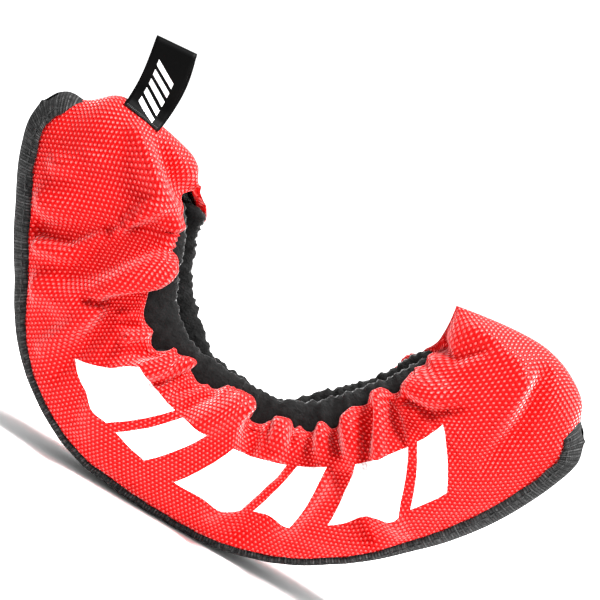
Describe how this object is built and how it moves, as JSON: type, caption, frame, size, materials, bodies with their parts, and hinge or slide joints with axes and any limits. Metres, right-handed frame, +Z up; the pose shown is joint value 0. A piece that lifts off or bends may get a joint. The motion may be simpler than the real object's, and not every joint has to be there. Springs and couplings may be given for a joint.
{
  "type": "skate blade guard",
  "caption": "Soft cloth guard that slips over an ice skate blade: a padded pouch with an elastic mouth, a webbing sole and a ribbon label.",
  "frame": {"origin": "middle of the guard's length and width, at the level that its sole rests on", "axes": "+X to the toe end, +Y to the guard's left side, +Z up out of the mouth"},
  "size_m": [0.2742, 0.0422, 0.1839],
  "materials": {
    "shell_nylon": "coarse basket weave, slight sheen",
    "fleece": "short fleece pile, matt",
    "webbing": "fine ribbed webbing, dull",
    "wear_strip": "plain tape, dull",
    "elastic": "braided elastic, dull",
    "thread": "polyester thread, slight sheen",
    "ribbon": "satin ribbon"
  },
  "bodies": {
    "heel_end": {"sole_webbing_heel": "webbing", "wear_strip_heel": "wear_strip", "shell_right_heel": "shell_nylon", "lining_right_heel": "fleece", "mouth_lip_right_heel": "fleece", "mouth_elastic_right_heel": "elastic", "sole_stitching_right_heel": "thread", "shell_left_heel": "shell_nylon", "lining_left_heel": "fleece", "mouth_lip_left_heel": "fleece", "mouth_elastic_left_heel": "elastic", "sole_stitching_left_heel": "thread"},
    "middle": {"sole_webbing_middle": "webbing", "wear_strip_middle": "wear_strip", "shell_right_middle": "shell_nylon", "lining_right_middle": "fleece", "mouth_lip_right_middle": "fleece", "mouth_elastic_right_middle": "elastic", "sole_stitching_right_middle": "thread", "shell_left_middle": "shell_nylon", "lining_left_middle": "fleece", "mouth_lip_left_middle": "fleece", "mouth_elastic_left_middle": "elastic", "sole_stitching_left_middle": "thread"},
    "toe_end": {"sole_webbing_toe": "webbing", "wear_strip_toe": "wear_strip", "shell_right_toe": "shell_nylon", "lining_right_toe": "fleece", "mouth_lip_right_toe": "fleece", "mouth_elastic_right_toe": "elastic", "sole_stitching_right_toe": "thread", "shell_left_toe": "shell_nylon", "lining_left_toe": "fleece", "mouth_lip_left_toe": "fleece", "mouth_elastic_left_toe": "elastic", "sole_stitching_left_toe": "thread"},
    "label": {"label_loop": "ribbon", "label_stitching": "thread"}
  },
  "joints": [
    {"name": "heel_flex", "type": "hinge", "parent": "middle", "child": "heel_end", "pos_m": [-0.08466, 0, 0.02568], "axis": [0, -1, 0], "range_deg": [0, 60], "stiffness_Nm_per_rad": 0.5, "springref_deg": -20.05},
    {"name": "toe_flex", "type": "hinge", "parent": "middle", "child": "toe_end", "pos_m": [0.07672, 0, 0.02782], "axis": [0, 1, 0], "range_deg": [0, 60], "stiffness_Nm_per_rad": 0.5, "springref_deg": -20.05},
    {"name": "label_fold", "type": "hinge", "parent": "heel_end", "child": "label", "pos_m": [-0.09685, 0, 0.14958], "axis": [0.9986, 0, 0.0523], "range_deg": [-75, 75], "stiffness_Nm_per_rad": 0.0035}
  ]
}
